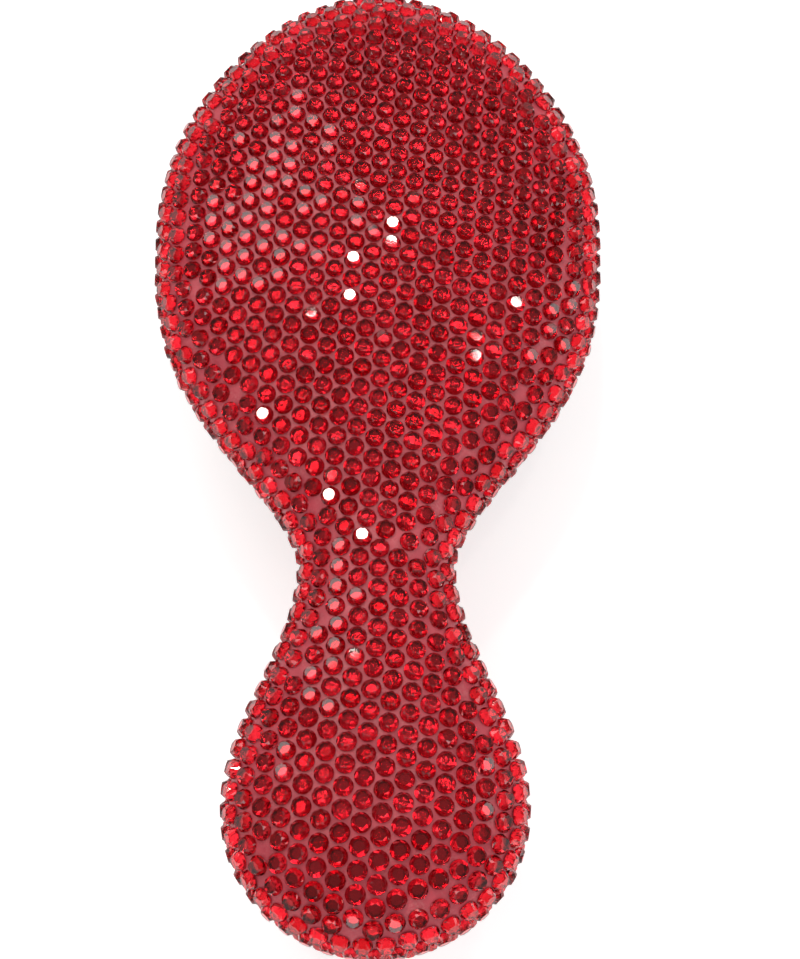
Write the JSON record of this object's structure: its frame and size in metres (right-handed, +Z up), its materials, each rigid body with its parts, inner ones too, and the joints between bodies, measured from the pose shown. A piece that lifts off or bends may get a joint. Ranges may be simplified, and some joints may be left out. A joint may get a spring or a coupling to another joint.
{
  "type": "cushion hair brush",
  "caption": "Small oval cushion hair brush with a teardrop handle, its back and sides paved with red faceted crystals, on a sprung rubber pad of ball-tipped pins.",
  "frame": {"origin": "on the floor, under the middle of the body", "axes": "+X across the brush, +Y along it towards the top of the head, +Z up through its crystal back, away from the pins"},
  "size_m": [0.0668, 0.1487, 0.0326],
  "materials": {
    "shell": "moulded gloss",
    "frame": "moulded gloss",
    "pad": "matt moulded rubber",
    "ring": "moulded",
    "adhesive": "dull set adhesive",
    "pins": "moulded nylon with ball tips",
    "crystals": "faceted, foil backed"
  },
  "bodies": {
    "brush": {"back_shell": "shell", "front_frame": "frame", "retaining_ring": "ring", "crystal_adhesive": "adhesive", "crystal_edge_row_1": "crystals", "crystal_edge_row_2": "crystals", "crystal_edge_row_3": "crystals", "crystal_edge_row_4": "crystals", "crystal_edge_row_5": "crystals", "head_crystals": "crystals", "neck_crystals": "crystals", "handle_crystals": "crystals"},
    "pins": {"cushion_pad": "pad", "pin_row_01": "pins", "pin_row_02": "pins", "pin_row_03": "pins", "pin_row_04": "pins", "pin_row_05": "pins", "pin_row_06": "pins", "pin_row_07": "pins", "pin_row_08": "pins", "pin_row_09": "pins", "pin_row_10": "pins", "pin_row_11": "pins", "pin_row_12": "pins", "pin_row_13": "pins"}
  },
  "joints": [
    {"name": "cushion_press", "type": "slide", "parent": "brush", "child": "pins", "axis": [0, 0, 1], "range_m": [0, 0.0025], "stiffness_N_per_m": 1500, "deforming": ["cushion_pad"]}
  ]
}
